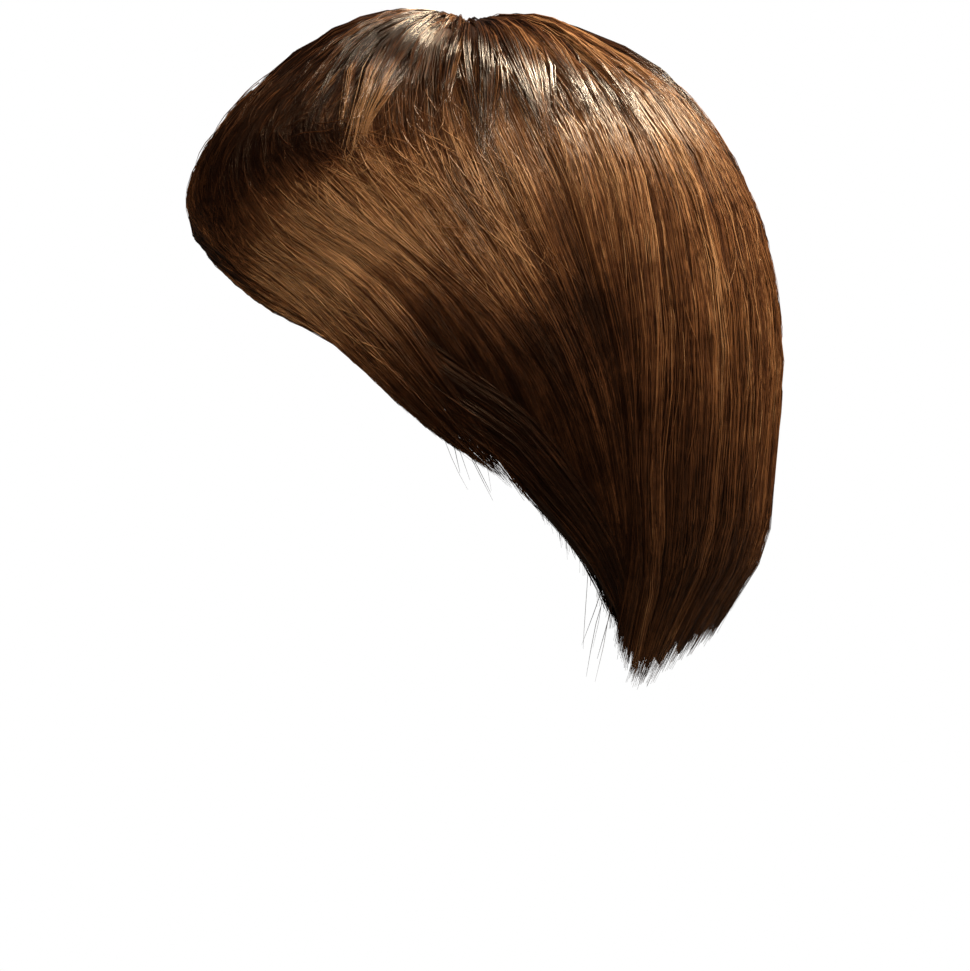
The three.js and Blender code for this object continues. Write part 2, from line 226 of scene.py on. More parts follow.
def makeStrandTree():
    tree = bpy.data.node_groups.new("lockStrands", "GeometryNodeTree")
    sockets = {
        "Guides": "Geometry", "Strands per Lock": "Int", "Spread": "Float", "Lift": "Float",
        "Strand Width": "Float", "Frizz": "Float", "Tip Gather": "Float", "Shortest": "Float",
        "Tone Spread": "Float", "Seed": "Int", "Hair": "Material",
    }
    for name, kind in sockets.items():
        tree.interface.new_socket(name, in_out="INPUT", socket_type="NodeSocket" + kind)
    tree.interface.new_socket("Strands", in_out="OUTPUT", socket_type="NodeSocketGeometry")
    given = tree.nodes.new("NodeGroupInput").outputs
    whole = (0, 1)
    bothWays = (-1, 1)
    noiseMiddle = (0.5, 0.5, 0.5)

    guides = addNode(tree, "GeometryNodeMeshToCurve", {"Mesh": given["Guides"]}).outputs[0]
    feeds = {"Geometry": guides, "Amount": given["Strands per Lock"]}
    strands = addNode(tree, "GeometryNodeDuplicateElements", feeds, domain="SPLINE").outputs[0]

    seed = given["Seed"]
    index = addNode(tree, "GeometryNodeInputIndex").outputs[0]
    feeds = {0: (-1, -1, -1), 1: (1, 1, 1), "ID": index, "Seed": seed}
    shift = addNode(tree, "FunctionNodeRandomValue", feeds, data_type="FLOAT_VECTOR").outputs[0]
    strands = storeAttribute(tree, strands, "shift", shift, "CURVE", "FLOAT_VECTOR")
    stray = randomFloat(tree, -1, 1, calc(tree, "ADD", seed, 1))
    stray = calc(tree, "MULTIPLY", stray, given["Tone Spread"])
    strands = storeAttribute(tree, strands, "stray", stray, "CURVE")
    strands = storeAttribute(tree, strands, "strandNumber", index, "CURVE")
    feeds = {"Curve": strands, "End": randomFloat(tree, given["Shortest"], 1, calc(tree, "ADD", seed, 2))}
    strands = addNode(tree, "GeometryNodeTrimCurve", feeds, mode="FACTOR").outputs[0]

    along = addNode(tree, "GeometryNodeSplineParameter").outputs["Factor"]
    strands = storeAttribute(tree, strands, "strandAlong", along, "POINT")
    # a strand's tone: its lock's tone, which carries painted light and shade, plus its own random stray
    tone = calc(tree, "ADD", readAttribute(tree, "lockToneAndPaintedLight"), readAttribute(tree, "stray"))
    strands = storeAttribute(tree, strands, "strandToneAndPaintedLight", tone, "POINT")
    shift = readAttribute(tree, "shift", "FLOAT_VECTOR")
    place = addNode(tree, "ShaderNodeSeparateXYZ", {0: shift}).outputs
    gather = mapRange(tree, along, (strandHabit["gatherFrom"], 1), (1, given["Tip Gather"]), smooth=True)
    wander = mapRange(tree, along, whole, (place[0], place[2]))  # strands cross one another on the way down
    sideways = calc(tree, "MULTIPLY", calc(tree, "MULTIPLY", wander, given["Spread"]), gather)
    sideShift = calcVector(tree, "SCALE", readAttribute(tree, "side", "FLOAT_VECTOR"), sideways)
    arch = calc(tree, "SQRT", calc(tree, "SUBTRACT", 1, calc(tree, "MULTIPLY", place[0], place[0])))
    height = calc(tree, "MULTIPLY", arch, mapRange(tree, place[1], bothWays, whole))
    height = calc(tree, "SUBTRACT", height, strandHabit["archMiddle"])
    rise = calc(tree, "MULTIPLY", calc(tree, "MULTIPLY", height, given["Lift"]), gather)
    outShift = calcVector(tree, "SCALE", readAttribute(tree, "out", "FLOAT_VECTOR"), rise)
    position = addNode(tree, "GeometryNodeInputPosition").outputs[0]
    apart = calcVector(tree, "SCALE", shift, strandHabit["waveApart"])
    wavePlace = calcVector(tree, "ADD", position, apart)
    feeds = {"Vector": wavePlace, **strandHabit["wave"]}
    wave = addNode(tree, "ShaderNodeTexNoise", feeds).outputs["Color"]
    loose = calc(tree, "MULTIPLY", given["Frizz"], mapRange(tree, along, whole, strandHabit["looseness"]))
    wave = calcVector(tree, "SUBTRACT", wave, noiseMiddle)
    frizz = calcVector(tree, "SCALE", wave, loose)
    offset = calcVector(tree, "ADD", calcVector(tree, "ADD", sideShift, outShift), frizz)
    strands = addNode(tree, "GeometryNodeSetPosition", {"Geometry": strands, "Offset": offset}).outputs[0]

    feeds = {"Resolution": strandHabit["sides"], "Radius": 1}
    ring = addNode(tree, "GeometryNodeCurvePrimitiveCircle", feeds).outputs[0]
    ring = storeAttribute(tree, ring, "around", along, "POINT")
    uneven = mapRange(tree, place[1], bothWays, strandHabit["unevenWidth"])
    taper = mapRange(tree, along, (strandHabit["taperFrom"], 1), strandHabit["taper"])
    wide = calc(tree, "MULTIPLY", given["Strand Width"], readAttribute(tree, "lockWidth"))
    radius = calc(tree, "MULTIPLY", calc(tree, "MULTIPLY", wide, taper), uneven)
    feeds = {"Curve": strands, "Profile Curve": ring, "Scale": radius, "Fill Caps": True}
    mesh = addNode(tree, "GeometryNodeCurveToMesh", feeds).outputs[0]

    size = addNode(tree, "GeometryNodeAttributeDomainSize", {0: strands}, component="CURVE").outputs
    cells = calc(tree, "CEIL", calc(tree, "SQRT", size["Spline Count"]))  # a map cell for each strand
    number = readAttribute(tree, "strandNumber")
    column = calc(tree, "FLOORED_MODULO", number, cells)
    row = calc(tree, "FLOOR", calc(tree, "DIVIDE", number, cells))
    around = mapRange(tree, readAttribute(tree, "around"), whole, strandHabit["mapAround"])
    down = mapRange(tree, readAttribute(tree, "strandAlong"), whole, strandHabit["mapAlong"])
    u = calc(tree, "DIVIDE", calc(tree, "ADD", column, around), cells)
    v = calc(tree, "DIVIDE", calc(tree, "ADD", row, down), cells)
    cell = addNode(tree, "ShaderNodeCombineXYZ", {0: u, 1: v}).outputs[0]
    mesh = storeAttribute(tree, mesh, "OFBake", cell, "CORNER", "FLOAT2")
    mesh = addNode(tree, "GeometryNodeSetShadeSmooth", {0: mesh}).outputs[0]
    mesh = addNode(tree, "GeometryNodeRealizeInstances", {0: mesh}).outputs[0]
    mesh = addNode(tree, "GeometryNodeSetMaterial", {0: mesh, "Material": given["Hair"]}).outputs[0]
    done = tree.nodes.new("NodeGroupOutput")
    tree.links.new(mesh, done.inputs[0])
    return tree


strandTree = makeStrandTree()

# painted light and shade on the hair, the same on both sides: lighter where the lamps fall, darker in
# painted shadow, in grooves, valleys, under locks and towards the bottom, and dimmer where a highlight is
# toned down; place and reach in mm, and what each adds
paintedLightAreas = {
    "side": {"place": (93, -25, -58), "reach": 42, "adds": 0.2},
    "sweep": {"place": (86, -58, -75), "reach": 33, "adds": 0.56},
    "front": {"place": (40, -85, -22), "reach": 44, "adds": -0.62},
    "frontLow": {"place": (48, -92, -50), "reach": 22, "adds": -0.3},
    "wedgeLeft": {"place": (71, -63, -33), "reach": 14, "adds": -0.55},
    "wedgeShade": {"place": (74, -51, -37), "reach": 9, "adds": -0.5},
    "wedgeRight": {"place": (83, -33, -25), "reach": 9, "adds": -0.4},
    "crownFront": {"place": (50, -32, 6), "reach": 18, "adds": -0.3},
    "grooveTop": {"place": (45, -12, 14), "reach": 9, "adds": -0.35},
    "groove": {"place": (64, -16, -2), "reach": 10, "adds": -0.4},
    "grooveEnd": {"place": (77, -19, -15), "reach": 9, "adds": -0.35},
    "templeShade": {"place": (101, -10, -98), "reach": 16, "adds": -0.22},
    "templeLight": {"place": (101, 16, -92), "reach": 18, "adds": 0.32},
    "valley": {"place": (102, 40, -108), "reach": 25, "adds": -0.55},
    "sideLow": {"place": (98, 0, -138), "reach": 38, "adds": -0.38},
    "ends": {"place": (95, 45, -170), "reach": 50, "adds": -0.24},
    "backLow": {"place": (75, 92, -190), "reach": 60, "adds": -0.3},
    "crownTop": {"place": (38, 48, 9), "reach": 30, "adds": 0.42},
    "crownSide": {"place": (82, 38, -42), "reach": 24, "adds": 0.26},
    "crownDull": {"place": (57, 62, -14), "reach": 16, "adds": -0.55},
    "crownBack": {"place": (52, 90, -20), "reach": 42, "adds": 0.3},
    "back": {"place": (88, 70, -92), "reach": 30, "adds": 0.05},
    "backEdge": {"place": (35, 120, -125), "reach": 46, "adds": 0.12},
}


# painted light and shade: how much the areas above lighten or darken the hair at each point
def paintedLightTone(points):
    folded = np.abs(points * (1, 0, 0)) + points * (0, 1, 1)
    total = np.zeros(points.shape[:-1])
    for area in paintedLightAreas.values():
        apart = np.linalg.norm(folded / mm - area["place"], axis=-1)
        total += area["adds"] * np.exp(-((apart / area["reach"]) ** 2))
    return total


def newObject(name, data):
    piece = bpy.data.objects.new(name, data)
    bpy.context.scene.collection.objects.link(piece)
    return piece


def growStrands(name, layers, material, settings):  # layers hold guide values, each (locks, rings, ...)
    edges = []
    count = 0
    for layer in layers:
        locks, rings = layer["points"].shape[:2]
        numbers = np.arange(count, count + locks * rings).reshape(locks, rings)
        edges.append(np.stack([numbers[:, :-1], numbers[:, 1:]], -1).reshape(-1, 2))
        count += locks * rings
    joined = {key: np.concatenate([layer[key].reshape(-1, *layer[key].shape[2:]) for layer in layers])
              for key in layers[0]}
    mesh = bpy.data.meshes.new(name + "Guides")
    mesh.from_pydata(joined["points"].tolist(), np.concatenate(edges).tolist(), [])
    for key in ("side", "out"):
        mesh.attributes.new(key, "FLOAT_VECTOR", "POINT").data.foreach_set("vector", joined[key].ravel())
    for key in ("lockToneAndPaintedLight", "lockWidth"):
        mesh.attributes.new(key, "FLOAT", "POINT").data.foreach_set("value", joined[key])
    grower = newObject(name + "Guides", mesh)
    modifier = grower.modifiers.new("strands", "NODES")
    modifier.node_group = strandTree
    values = {**strandDefaults, **settings, "Hair": material}
    for item in strandTree.interface.items_tree:
        if item.in_out == "INPUT" and item.name in values:
            modifier[item.identifier] = values[item.name]
    evaluated = grower.evaluated_get(bpy.context.evaluated_depsgraph_get())
    strands = bpy.data.meshes.new_from_object(evaluated)
    strands.name = name
    grower.modifiers.remove(modifier)
    bpy.data.objects.remove(grower)
    for key in guideAttributes:
        if key in strands.attributes:
            strands.attributes.remove(strands.attributes[key])
    piece = newObject(name, strands)
    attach(piece, "root")
    strands.calc_loop_triangles()
    locks = sum(len(layer["points"]) for layer in layers)
    print(name, "locks:", locks, "triangles:", len(strands.loop_triangles))


# guides share out their rings by length and by bend
guideHabit = {"fineSteps": 49, "bendShare": 1.4}


def spreadRings(points, rings):
    steps = np.diff(points, axis=1)
    length = np.linalg.norm(steps, axis=-1)
    ahead = steps / np.maximum(length, 1e-9)[..., None]
    turn = np.arccos(np.clip((ahead[:, 1:] * ahead[:, :-1]).sum(-1), -1, 1))
    bend = np.pad(turn, ((0, 0), (0, 1))) + np.pad(turn, ((0, 0), (1, 0)))
    weight = length / length.sum(1, keepdims=True)
    weight = weight + guideHabit["bendShare"] * bend / (bend.sum(1, keepdims=True) + 1e-6)
    total = np.pad(np.cumsum(weight, 1), ((0, 0), (1, 0)))
    fine = np.linspace(0, 1, points.shape[1])
    return np.stack([np.interp(np.linspace(0, row[-1], rings), row, fine) for row in total])


# layAt(share, shift) gives points and normals along the hair; step and half are in the units of shift
def makeGuides(layAt, locks, rings, step, half, tone, width):
    fine = np.broadcast_to(np.linspace(0, 1, guideHabit["fineSteps"]), (locks, guideHabit["fineSteps"]))
    share = spreadRings(layAt(fine, 0)[0], rings)
    points, normal = layAt(share, 0)
    side = (layAt(share, step)[0] - layAt(share, -step)[0]) / (2 * step)
    return {
        "points": points,
        "side": side * np.broadcast_to(half, (locks, 1))[..., None],
        "out": normal,
        # a lock's own tone with the painted light and shade of the areas added
        "lockToneAndPaintedLight": tone + paintedLightTone(points),
        "lockWidth": np.broadcast_to(width, (locks, rings)),
    }


# materials
def newMaterial(name):
    material = bpy.data.materials.new(name)
    material.use_nodes = True
    tree = material.node_tree
    return material, tree, tree.nodes["Principled BSDF"]


def toneRamp(tree, value, tones):  # tones: (place, linear colour) rows, a new ramp has two stops
    ramp = addNode(tree, "ShaderNodeValToRGB", {0: value})
    stops = ramp.color_ramp.elements
    for k, (place, colour) in enumerate(tones):
        stop = stops[k] if k < 2 else stops.new(place)
        stop.position = place
        stop.color = (*colour, 1)
    return ramp.outputs[0]


noiseRange = (0.3, 0.7)  # where most of a noise lies


def noiseAt(tree, place, noise):
    return addNode(tree, "ShaderNodeTexNoise", {"Vector": place, **noise}).outputs["Fac"]


def addBump(tree, shader, height, look):
    feeds = {"Height": height, "Strength": look["bump"], "Distance": look["bumpDepth"]}
    bump = addNode(tree, "ShaderNodeBump", feeds)
    tree.links.new(bump.outputs[0], shader.inputs["Normal"])


hairTones = [
    (0.0, (0.0125, 0.0043, 0.002)),
    (0.45, (0.08, 0.028, 0.0102)),
    (0.8, (0.19, 0.076, 0.026)),
    (1.0, (0.36, 0.18, 0.074)),
]
strandLook = {
    "name": "brownStrands", "rough": (0.4, 0.26), "level": 0.3, "gloss": (1, 0.7, 0.4, 1),
    "cloud": {"Scale": 45, "Detail": 3}, "cloudTone": (-0.13, 0.13),
    "fleck": {"Scale": 240, "Detail": 2}, "fleckTone": (-0.08, 0.08),
    "rootShare": (0, 0.25), "rootShade": (0.8, 1),
    "grain": {"Scale": 700, "Detail": 1}, "bump": 0.4, "bumpDepth": 0.2 * mm,
}
crownLook = {
    **strandLook, "name": "brownCrown", "rough": (0.24, 0.14), "level": 0.65, "gloss": (1, 0.84, 0.66, 1),
}


def makeStrandMaterial(look):
    material, tree, shader = newMaterial(look["name"])
    # the tone carries painted light and shade as well as the hair's own random tone; it sets the colour and
    # the roughness
    tone = addNode(tree, "ShaderNodeAttribute", attribute_name="strandToneAndPaintedLight").outputs["Fac"]
    along = addNode(tree, "ShaderNodeAttribute", attribute_name="strandAlong").outputs["Fac"]
    place = addNode(tree, "ShaderNodeTexCoord").outputs["Object"]
    cloud = noiseAt(tree, place, look["cloud"])
    mixed = calc(tree, "ADD", tone, mapRange(tree, cloud, noiseRange, look["cloudTone"]))
    fleck = noiseAt(tree, place, look["fleck"])
    mixed = calc(tree, "ADD", mixed, mapRange(tree, fleck, noiseRange, look["fleckTone"]))
    shade = mapRange(tree, along, look["rootShare"], look["rootShade"], smooth=True)
    colour = calcVector(tree, "SCALE", toneRamp(tree, mixed, hairTones), shade)
    tree.links.new(colour, shader.inputs["Base Color"])
    tree.links.new(mapRange(tree, mixed, (0, 1), look["rough"]), shader.inputs["Roughness"])
    shader.inputs["Specular IOR Level"].default_value = look["level"]
    shader.inputs["Specular Tint"].default_value = look["gloss"]
    addBump(tree, shader, noiseAt(tree, place, look["grain"]), look)
    return material


def makeUnderHairMaterial():
    look = {
        "name": "brownUnderHair", "lanes": (260, 5, 1), "streak": {"Scale": 1, "Detail": 4},
        "toneRange": (0.3, 0.75), "tone": (0.1, 0.5), "rough": (0.62, 0.42),
        "bump": 0.6, "bumpDepth": 0.4 * mm,
    }
    material, tree, shader = newMaterial(look["name"])
    place = addNode(tree, "ShaderNodeUVMap", uv_map="OFBake").outputs[0]
    lanes = addNode(tree, "ShaderNodeMapping", {"Vector": place, "Scale": look["lanes"]}).outputs[0]
    streak = noiseAt(tree, lanes, look["streak"])
    tone = mapRange(tree, streak, look["toneRange"], look["tone"])
    tree.links.new(toneRamp(tree, tone, hairTones), shader.inputs["Base Color"])
    tree.links.new(mapRange(tree, streak, noiseRange, look["rough"]), shader.inputs["Roughness"])
    addBump(tree, shader, streak, look)
    return material


def makeNetMaterial():
    look = {
        "name": "capNet", "mesh": 140, "rough": (0.95, 0.7), "bump": 0.7, "bumpDepth": 0.5 * mm,
        "tones": [(0.35, (0.004, 0.003, 0.0025)), (0.75, (0.02, 0.013, 0.009))],
    }
    material, tree, shader = newMaterial(look["name"])
    place = addNode(tree, "ShaderNodeTexCoord").outputs["Object"]
    feeds = {"Vector": place, "Rotation": (0, 0, math.radians(90))}
    turn = addNode(tree, "ShaderNodeMapping", feeds).outputs[0]
    threads = []
    for way in (place, turn):
        feeds = {"Vector": way, "Scale": look["mesh"]}
        threads.append(addNode(tree, "ShaderNodeTexWave", feeds, bands_direction="DIAGONAL").outputs["Fac"])
    yarn = calc(tree, "MAXIMUM", *threads)
    tree.links.new(toneRamp(tree, yarn, look["tones"]), shader.inputs["Base Color"])
    tree.links.new(mapRange(tree, yarn, (0, 1), look["rough"]), shader.inputs["Roughness"])
    addBump(tree, shader, yarn, look)
    return material


strandMaterial = makeStrandMaterial(strandLook)
crownMaterial = makeStrandMaterial(crownLook)
underHairMaterial = makeUnderHairMaterial()
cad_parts["cap"].data.materials.clear()
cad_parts["cap"].data.materials.append(makeNetMaterial())
print("materials made")


# closed wall between an outer and an inner grid (rows, columns, 3); a round one closes on itself
def makeWall(name, outer, inner, isRound, node):
    mapHeight = 0.49  # the outer and the inner face take half of the map each
    rows, columns = outer.shape[:2]
    numbers = np.arange(rows * columns).reshape(rows, columns)
    if isRound:
        numbers = np.concatenate([numbers, numbers[:, :1]], 1)
    deep = numbers + rows * columns
    a, b, c, d = numbers[:-1, :-1], numbers[1:, :-1], numbers[1:, 1:], numbers[:-1, 1:]
    faces = [np.stack([a, b, c, d], -1).reshape(-1, 4)]
    a, b, c, d = deep[:-1, :-1], deep[:-1, 1:], deep[1:, 1:], deep[1:, :-1]
    faces.append(np.stack([a, b, c, d], -1).reshape(-1, 4))

    def addRim(line, deepLine):
        faces.append(np.stack([line[:-1], deepLine[:-1], deepLine[1:], line[1:]], -1))

    addRim(numbers[-1], deep[-1])
    addRim(numbers[0][::-1], deep[0][::-1])
    if not isRound:
        addRim(numbers[:, 0], deep[:, 0])
        addRim(numbers[::-1, -1], deep[::-1, -1])
    points = np.concatenate([outer.reshape(-1, 3), inner.reshape(-1, 3)])
    mesh = bpy.data.meshes.new(name)
    mesh.from_pydata(points.tolist(), [], np.concatenate(faces).tolist())
    u, v = np.meshgrid(np.linspace(0, 1, columns), np.linspace(0, mapHeight, rows))
    places = np.stack([u, v], -1).reshape(-1, 2)
    places = np.concatenate([places, places + (0, 1 - mapHeight)])
    layer = mesh.uv_layers.new(name="OFBake")
    corners = np.zeros(len(mesh.loops), np.int32)
    mesh.loops.foreach_get("vertex_index", corners)
    layer.data.foreach_set("uv", places[corners].astype(np.float32).ravel())
    mesh.polygons.foreach_set("use_smooth", np.ones(len(mesh.polygons), bool))
    mesh.materials.append(underHairMaterial)
    piece = newObject(name, mesh)
    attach(piece, "root")
    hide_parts(node)
    print(name, "faces:", len(mesh.polygons))


# depths of the sections under the outer form, in mm, and the levels or shares over which they change
sectionDepths = {
    "cover": 6, "coverTop": 0.35, "coverLevels": (2.2, 4.8),  # they come up from under the crown layer
    "valley": 4, "groove": 1.4, "grooveSharp": 0.7, "locksFrom": 0.15, "locksFull": 0.5, "tipsFrom": 0.7,
    "napeShare": 0.5, "napeLevels": (4.8, 7.4), "napeGap": 1.5,
    "edgeShare": 0.3, "innerGap": 1.5, "thinnest": 1,
}


def sectionPoints(section, names, across, along, depth):
    lie = sectionDepths
    azimuth, level = pathPlace(names, across, along)
    points, wall = formAt(azimuth, level)
    normal = formNormal(azimuth, level)
    inside = np.clip(across, 0, 1)
    flank = normal[..., 0] ** 2  # the crown layer is thickest on the two sides
    cover = lie["cover"] * mm * (lie["coverTop"] + (1 - lie["coverTop"]) * flank)
    cover = cover * (1 - smoothstep(level, *lie["coverLevels"]))
    first, last = section["valleys"]
    seam = first * np.exp(-section["locks"] * inside) + last * np.exp(-section["locks"] * (1 - inside))
    swell = np.sin(np.pi * np.clip((along - lie["locksFrom"]) / (1 - lie["locksFrom"]), 0, 1))
    groove = 1 - np.abs(np.sin(np.pi * section["locks"] * inside)) ** lie["grooveSharp"]
    relief = lie["groove"] * mm * groove * smoothstep(along, lie["locksFrom"], lie["locksFull"])
    sink = section["tipSink"] * smoothstep(along, lie["tipsFrom"], 1)
    outer = cover + lie["valley"] * mm * seam * swell + relief + sink
    bottom = wall
    if section["node"] == "back_hair":
        bottom = wall * (1 - (1 - lie["napeShare"]) * smoothstep(level, *lie["napeLevels"]))
    if section["node"] == "nape_hair":
        outer = outer + wall * lie["napeShare"] + lie["napeGap"] * mm
    if section["edge"]:
        bottom = section["edge"] + (bottom - section["edge"]) * smoothstep(inside, 0, lie["edgeShare"])
    deepest = np.maximum(bottom - lie["innerGap"] * mm, outer + lie["thinnest"] * mm)
    return points - normal * np.minimum(outer + depth, deepest)[..., None], normal


# what locks do at random, in shares of the section, radians and mm
lockHabit = {
    "span": (-0.01, 1.01), "jitter": (-0.45, 0.45), "phase": (0, 6.3), "pace": (2, 6), "lower": (-0.4, 0.4),
    "sway": (0.3, 1), "emergeBy": 0.35, "toneSpread": 0.07, "step": 0.01,
}


def layerGuides(section, layer, rng):
    locks = layer["locks"]
    each = (locks, 1)
    lane = 1 / locks
    first, last = lockHabit["span"]
    centre = (np.arange(locks) + 0.5 + rng.uniform(*lockHabit["jitter"], locks))[:, None] * lane
    centre = first + centre * (last - first)
    start = rng.uniform(*layer["start"], each)
    end = rng.uniform(*layer["end"], each)
    phase = rng.uniform(*lockHabit["phase"], each)
    pace = rng.uniform(*lockHabit["pace"], each)
    lower = rng.uniform(*lockHabit["lower"], each)
    sway = layer["sway"] * rng.uniform(*lockHabit["sway"], each)

    def layAt(share, shift):
        along = start + (end - start) * share
        across = centre + sway * np.sin(phase + pace * share) + shift
        emerge = layer["emerge"] * (1 - smoothstep(share, 0, lockHabit["emergeBy"]))
        depth = (layer["depth"] + lower + emerge) * mm
        return sectionPoints(section, layer.get("flow", section["flow"]), across, along, depth)

    clumpPlaces = np.linspace(0, 1, locks // 2)  # neighbours share a tone
    clumps = np.interp(centre, clumpPlaces, rng.normal(0, layer["clump"], locks // 2))
    tone = np.clip(layer["tone"] + clumps + rng.normal(0, lockHabit["toneSpread"], each), 0, 1)
    half = lane * layer["overlap"]
    return makeGuides(layAt, locks, layer["rings"], lockHabit["step"], half, tone, layer["width"])


# the closed layer under the strands: depths in mm, the inner one stops at the hair's wall
underLayer = {"depth": 2.6, "innerDepth": 1000, "uneven": (0.975, 1), "thinFrom": 0.78, "thinBy": 0.8}


def makeUnderHair(section):
    rows, columns = section["grid"]
    shares = np.linspace(0, section["underEnd"], rows), np.linspace(*section["underSpan"], columns)
    along, across = np.meshgrid(*shares, indexing="ij")
    along = along * np.random.default_rng(section["seed"]).uniform(*underLayer["uneven"], columns)
    outer, _ = sectionPoints(section, section["paths"], across, along, underLayer["depth"] * mm)
    inner, _ = sectionPoints(section, section["paths"], across, along, underLayer["innerDepth"] * mm)
    thin = underLayer["thinBy"] * smoothstep(np.linspace(0, 1, rows), underLayer["thinFrom"], 1)
    inner += (outer - inner) * thin[:, None, None]  # thin towards the tips
    makeWall(section["name"] + "UnderHair", outer, inner, False, section["node"])


def makeSection(section):
    makeUnderHair(section)
    rng = np.random.default_rng(section["seed"])
    layers = [layerGuides(section, layer, rng) for layer in section["layers"]]
    growStrands(section["name"] + "Strands", layers, strandMaterial, section["strands"])


middleLayer = {
    "depth": 1.9, "start": (0.06, 0.12), "end": (0.97, 1.01), "emerge": 0, "sway": 0.012,
    "overlap": 2.4, "tone": 0.38, "clump": 0.05, "width": 1.1,
}
topLayer = {
    "depth": 0.9, "start": (0.06, 0.3), "end": (0.97, 1.02), "emerge": 1.5, "sway": 0.016,
    "overlap": 3.4, "tone": 0.46, "clump": 0.06, "width": 0.9,
}
hemLayer = {
    "depth": 2.4, "start": (0, 0.45), "end": (0.86, 1.03), "emerge": 2, "sway": 0.05,
    "overlap": 2, "tone": 0.31, "clump": 0, "width": 1.1, "rings": 8,
}
napeLayer = {**middleLayer, "rings": 7, "end": (0.92, 0.97)}

fringe = {
    "name": "fringe", "node": "fringe_hair", "locks": 8, "seed": 11,
    "paths": ["partingFringe", "foreheadSweep", "templeSweep"],
    "flow": ["hemFlow", "foreheadFlow", "templeFlow"],
    "valleys": (0, 0.4), "tipSink": 2.5 * mm, "edge": 4 * mm,
    "grid": (56, 38), "underSpan": (0.035, 0.99), "underEnd": 0.91,
    "layers": [
        {**middleLayer, "locks": 70, "rings": 14},
        {**topLayer, "locks": 90, "rings": 14, "end": (0.92, 1.02)},
    ],
    "strands": {"Seed": 101},
}
sideLeft = {
    "name": "sideLeft", "node": "side_hair_left", "locks": 7, "seed": 12,
    "paths": ["templeSweep", "sideFront", "sideMiddle", "valleyLeft"],
    "flow": ["templeSweep", "sideFrontFlow", "sideMiddleFlow", "valleyFlow"],
    "valleys": (0.3, 0.8), "tipSink": 3.5 * mm, "edge": 0,
    "grid": (56, 40), "underSpan": (0.01, 0.99), "underEnd": 0.95,
    "layers": [
        {**middleLayer, "locks": 72, "rings": 10, "end": (0.9, 0.95)},
        {**topLayer, "locks": 124, "rings": 10, "end": (0.9, 0.97)},
        {**hemLayer, "locks": 46, "flow": ["hemOuter", "hemInner"]},
    ],
    "strands": {"Seed": 102},
}
backFlow = [
    "valleyFlow", "backLeftFlow", "napeLeft", "napeMiddle", "napeRight", "backRightFlow", "valleyFlowRight",
]
backHair = {
    "name": "back", "node": "back_hair", "locks": 9, "seed": 13, "paths": backFlow, "flow": backFlow,
    "valleys": (0.8, 0.4), "tipSink": 1.5 * mm, "edge": 0,
    "grid": (44, 72), "underSpan": (0.01, 0.99), "underEnd": 1.005,
    "layers": [
        {**middleLayer, "locks": 96, "rings": 10, "end": (0.97, 1.02)},
        {**topLayer, "locks": 130, "rings": 10, "end": (0.97, 1.025), "overlap": 2.8, "clump": 0.1},
    ],
    "strands": {"Seed": 103, "Tip Gather": 0.6, "Shortest": 0.97},
}
sideRight = {
    "name": "sideRight", "node": "side_hair_right", "locks": 6, "seed": 14,
    "paths": ["valleyRight", "sideRight", "templeRight"],
    "flow": ["valleyFlowRight", "sideRight", "templeRight"],
    "valleys": (0.4, 0.3), "tipSink": 3.5 * mm, "edge": 0,
    "grid": (44, 32), "underSpan": (0.01, 0.99), "underEnd": 0.98,
    "layers": [
        {**middleLayer, "locks": 50, "rings": 9},
        {**topLayer, "locks": 66, "rings": 9},
        {**hemLayer, "locks": 20, "start": (0.44, 0.64), "flow": ["hemOuterRight", "hemInnerRight"]},
    ],
    "strands": {"Seed": 104},
}
nape = {
    "name": "nape", "node": "nape_hair", "locks": 6, "seed": 15, "paths": backFlow, "flow": backFlow,
    "valleys": (0, 0), "tipSink": 2 * mm, "edge": 0,
    "grid": (20, 44), "underSpan": (0.02, 0.98), "underEnd": 0.97,
    "layers": [
        {**napeLayer, "locks": 50, "depth": 6, "start": (0.72, 0.74), "tone": 0.3},
        {**napeLayer, "locks": 56, "depth": 1, "start": (0.72, 0.76), "end": (0.92, 0.98), "tone": 0.32},
    ],
    "strands": {"Seed": 105},
}
for section in (fringe, sideLeft, backHair, sideRight, nape):
    makeSection(section)


